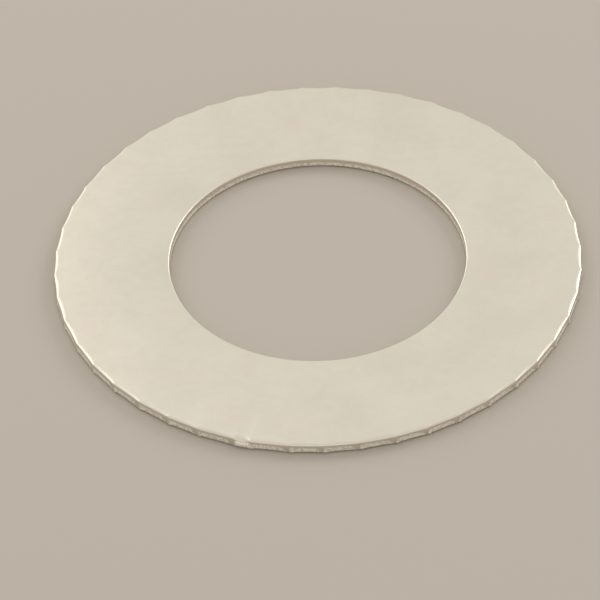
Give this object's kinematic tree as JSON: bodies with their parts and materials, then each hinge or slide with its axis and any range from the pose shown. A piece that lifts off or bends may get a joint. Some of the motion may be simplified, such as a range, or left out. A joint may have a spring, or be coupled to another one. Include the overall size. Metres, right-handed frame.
{
  "type": "shim ring",
  "caption": "Flat sheet-metal shim ring with a punched bore, rounded upper edges and a nibbled, faintly scalloped outer edge.",
  "frame": {"origin": "centre of the bore on the burr-side face, which the ring rests on", "axes": "+Z along the bore axis, out of the die-roll face"},
  "size_m": [0.08, 0.08, 0.0015],
  "materials": {
    "sheet_metal": "plain rolled sheet, satin, unpainted"
  },
  "bodies": {
    "root": {"shim_ring": "sheet_metal"}
  },
  "joints": []
}
